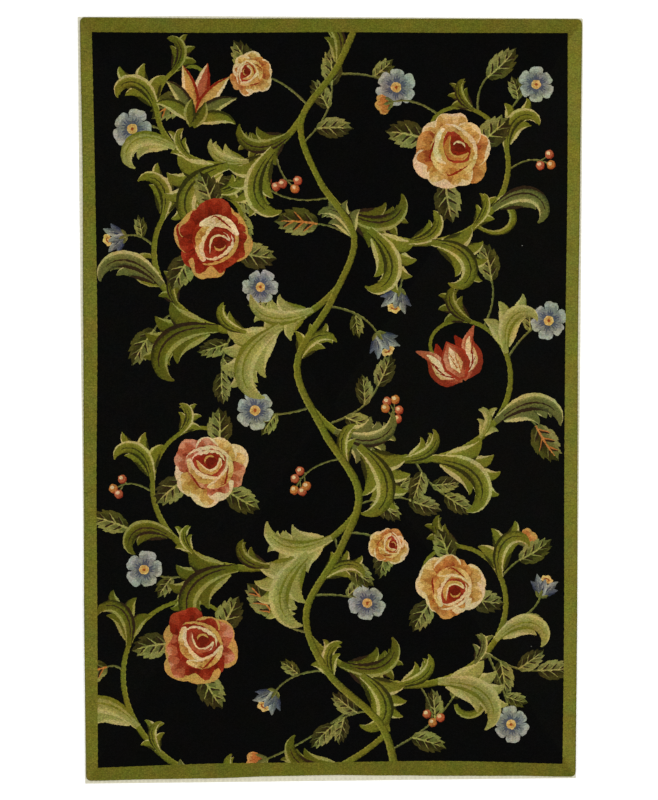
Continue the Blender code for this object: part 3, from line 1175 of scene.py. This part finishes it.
class Nodes:
    """A short way to add and link a material's shader nodes."""

    def __init__(self, name, roughness, specular):
        self.material = bpy.data.materials.new(name)
        self.material.use_nodes = True
        self.tree = self.material.node_tree
        self.shader = self.tree.nodes["Principled BSDF"]
        self.shader.inputs["Roughness"].default_value = roughness
        self.shader.inputs["Specular IOR Level"].default_value = specular

    def add(self, kind, settings=None, **inputs):
        """Adds a node, and sets or links its inputs by name, with _ for a space."""
        node = self.tree.nodes.new("ShaderNode" + kind)
        for name, value in (settings or {}).items():
            setattr(node, name, value)
        for name, value in inputs.items():
            self.feed(node.inputs[name.replace("_", " ")], value)
        return node

    def feed(self, socket, value):
        if isinstance(value, bpy.types.NodeSocket):
            self.tree.links.new(value, socket)
        else:
            socket.default_value = value

    def sum_of(self, kind, operation, values):
        node = self.add(kind, {"operation": operation})
        for socket, value in zip(node.inputs, values):
            self.feed(socket, value)
        return node.outputs[0]

    def math(self, operation, *values):
        return self.sum_of("Math", operation, values)

    def vector(self, operation, *values):
        return self.sum_of("VectorMath", operation, values)

    def scale(self, colour, level):
        node = self.add("VectorMath", {"operation": "SCALE"}, Scale=level)
        self.feed(node.inputs[0], colour)
        return node.outputs[0]

    def span(self, value, low, high, to_low=0.0, to_high=1.0):
        """A value between two limits, stretched to two others."""
        limits = {"From_Min": low, "From_Max": high, "To_Min": to_low, "To_Max": to_high}
        return self.add("MapRange", None, Value=value, **limits).outputs[0]

    def mix(self, share, first, second):
        node = self.add("Mix", {"data_type": "RGBA"})
        for socket, value in zip((node.inputs[0], node.inputs[6], node.inputs[7]), (share, first, second)):
            self.feed(socket, value)
        return node.outputs[2]

    def noise(self, where, scale, detail=1.0):
        return self.add("TexNoise", None, Vector=where, Scale=scale, Detail=detail)

    def cells(self, where, scale, stray):
        """How far each point is from the nearest of many scattered ones, and that one's random numbers."""
        node = self.add("TexVoronoi", {"feature": "F1"}, Vector=where, Scale=scale, Randomness=stray)
        return node.outputs["Distance"], node.outputs["Color"]

    def attribute(self, name, output="Color"):
        return self.add("Attribute", {"attribute_name": name}).outputs[output]

    def cover(self, colour, height, strength, distance):
        """Links the surface's colour and its bumps, and gives the material."""
        self.feed(self.shader.inputs["Base Color"], colour)
        bump = self.add("Bump", None, Height=height, Strength=strength, Distance=distance)
        self.feed(self.shader.inputs["Normal"], bump.outputs[0])
        return self.material


def loop_cells(nodes, where):
    """Rows of loops that wander a little, each loop the cell round its top."""
    place = nodes.vector("MULTIPLY", where, tuple(1 / (size * MM) for size in LOOP))
    centred = nodes.vector("SUBTRACT", nodes.noise(where, WANDER_SCALE).outputs["Color"], (0.5, 0.5, 0.5))
    wander = nodes.vector("MULTIPLY", centred, (0.0, 2 * ROW_WANDER, 0.0))
    return nodes.cells(nodes.vector("ADD", place, wander), 1.0, LOOP_STRAY)


def dyed(nodes, where, chance):
    """The unevenness of a hand-dyed yarn: its hue drifts along the rows, and a little by the loop."""
    along = nodes.noise(where, HUE_SCALE, 3.0).outputs["Color"]
    drift = nodes.vector("MULTIPLY_ADD", chance, (LOOP_HUE,) * 3, along)
    evened = tuple(1 - (1 + LOOP_HUE) / 2 * reach for reach in HUE_DRIFT)
    return nodes.vector("MULTIPLY_ADD", drift, HUE_DRIFT, evened)


def dye_and_painted_shade(nodes, where, away, chance):
    """How strong the dye looks, by the loop and the batch of yarn, times the painted shade between the loops.
    """
    strand = nodes.span(chance, 0.0, 1.0, 1 - LOOP_DYE, 1 + LOOP_DYE)
    batches = nodes.noise(where, BATCH_SCALE, 2.0).outputs[0]
    batch = nodes.span(batches, 0.3, 0.7, 1 - BATCH_DYE, 1 + BATCH_DYE)
    # Painted shade: the colour darkens away from each loop's top, into the crevices between the loops.
    dark = nodes.span(away, 0.18, 0.72, BRIGHTEN, CREVICE_PAINTED_SHADE * BRIGHTEN)
    return nodes.math("MULTIPLY", nodes.math("MULTIPLY", strand, batch), dark)


def wool_material():
    """Hooked wool: each loop takes one of its family's shades, by the tone where it stands."""
    nodes = Nodes("hooked_wool", 0.95, 0.02)
    where = nodes.add("TexCoord").outputs["Object"]
    away, chance = loop_cells(nodes, where)
    split = nodes.add("SeparateColor", None, Color=chance)
    uneven = nodes.span(split.outputs["Red"], 0.0, 1.0, -DITHER / 2, DITHER / 2)
    level = nodes.math("ADD", nodes.attribute("tone", "Fac"), uneven)
    colour = nodes.attribute("dark")
    for limits, lighter in zip(SHADE_STEPS, ("middle", "light")):
        colour = nodes.mix(nodes.span(level, *limits), colour, nodes.attribute(lighter))
    # The dye's unevenness and the painted shade between the loops darken the colour.
    shade = dye_and_painted_shade(nodes, where, away, split.outputs["Green"])
    colour = nodes.vector("MULTIPLY", colour, nodes.scale(dyed(nodes, where, chance), shade))
    lint = nodes.math("LESS_THAN", nodes.cells(where, LINT_SCALE, 1.0)[0], LINT_SIZE)
    fibres = nodes.noise(nodes.vector("MULTIPLY", where, FIBRE_SCALES), 1.0).outputs[0]
    dome = nodes.math("MULTIPLY", nodes.math("MULTIPLY", away, away), DOME)
    height = nodes.math("ADD", dome, nodes.math("MULTIPLY", fibres, FIBRE_BUMP))
    return nodes.cover(nodes.mix(lint, colour, linear(LINT)), height, 1.0, WOOL_BUMP)


def cotton_material():
    """Plain woven cotton: cream threads over and under each other."""
    nodes = Nodes("foundation_cotton", 0.9, 0.1)
    where = nodes.add("TexCoord").outputs["Object"]
    threads = []
    for direction in ("X", "Y"):
        wave = nodes.add("TexWave", {"wave_type": "BANDS", "bands_direction": direction}, Vector=where,
                         Scale=THREADS_PER_METRE / 20, Distortion=1.2, Detail=1.0)
        threads.append(wave.outputs["Fac"])
    weave = nodes.math("MAXIMUM", *threads)
    slubs = nodes.noise(where, SLUB_SCALE, 3.0).outputs[0]
    slub_shade = nodes.span(slubs, 0.3, 0.7, -SLUB_SHADE, SLUB_SHADE)
    # Painted shade between the threads, with slubs a little lighter or darker; the weave also gives the
    # bumps.
    level = nodes.math("ADD", nodes.span(weave, 0.0, 1.0, WEAVE_PAINTED_SHADE, 1.0), slub_shade)
    return nodes.cover(nodes.scale(linear(COTTON)[:3], level), weave, 0.4, COTTON_BUMP)


# ---- Floor, light and camera ----

CAMERA_DISTANCE = 3.5
CAMERA_LENS = 68.75
CAMERA_TILT = (-3.18, -2.00, -0.05)  # degrees away from straight down
CAMERA_AIM = (-0.0071, 0.0096)
FLOOR_SIZE = 14.0
FLOOR_HEIGHT = -0.0002  # just under the rug
FLOOR_COLOUR = (0.95, 0.95, 0.945, 1.0)
WHITE = (1.0, 1.0, 1.0, 1.0)
SKY = 0.8  # how bright the white surroundings are

# Each light's place, size and power.
LIGHTS = {
    "key": ((1.5, 0.8, 4.8), 3.0, 89),
    "fill": ((-1.8, -1.1, 4.6), 3.4, 43),
}


def make_floor():
    """A plain pale floor."""
    bpy.ops.mesh.primitive_plane_add(size=FLOOR_SIZE, location=(0, 0, FLOOR_HEIGHT))
    floor = bpy.context.object
    floor.name = "floor"
    nodes = Nodes("floor", 0.9, 0.1)
    nodes.shader.inputs["Base Color"].default_value = FLOOR_COLOUR
    floor.data.materials.append(nodes.material)


def make_light(name, place, size, power):
    """A broad soft light that faces the rug's middle."""
    light = bpy.data.lights.new(name, "AREA")
    light.size = size
    light.energy = power
    lamp = bpy.data.objects.new(name, light)
    lamp.location = place
    lamp.rotation_euler = (-Vector(place)).to_track_quat("-Z", "Y").to_euler()
    bpy.context.scene.collection.objects.link(lamp)


def make_stage():
    make_floor()
    for name, (place, size, power) in LIGHTS.items():
        make_light(name, place, size, power)
    scene = bpy.context.scene
    scene.world = bpy.data.worlds.new("studio")
    scene.world.use_nodes = True
    background = scene.world.node_tree.nodes["Background"]
    background.inputs["Color"].default_value = WHITE
    background.inputs["Strength"].default_value = SKY
    scene.view_settings.view_transform = "Standard"


def make_camera():
    """Almost straight above the rug, as in the photo."""
    camera = bpy.data.cameras.new("camera")
    camera.lens = CAMERA_LENS
    camera.sensor_width = 36.0
    camera.clip_end = 50.0
    holder = bpy.data.objects.new("camera", camera)
    turn = Euler([math.radians(angle) for angle in CAMERA_TILT])
    holder.rotation_euler = turn
    holder.location = turn.to_matrix() @ Vector((0, 0, CAMERA_DISTANCE)) + Vector((*CAMERA_AIM, 0))
    bpy.context.scene.collection.objects.link(holder)
    bpy.context.scene.camera = holder


make_camera()
make_stage()

foundation = make_foundation()
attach(foundation, "root")
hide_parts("foundation")

pile = make_pile()
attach(pile, "root")
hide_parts("hooked_pile")
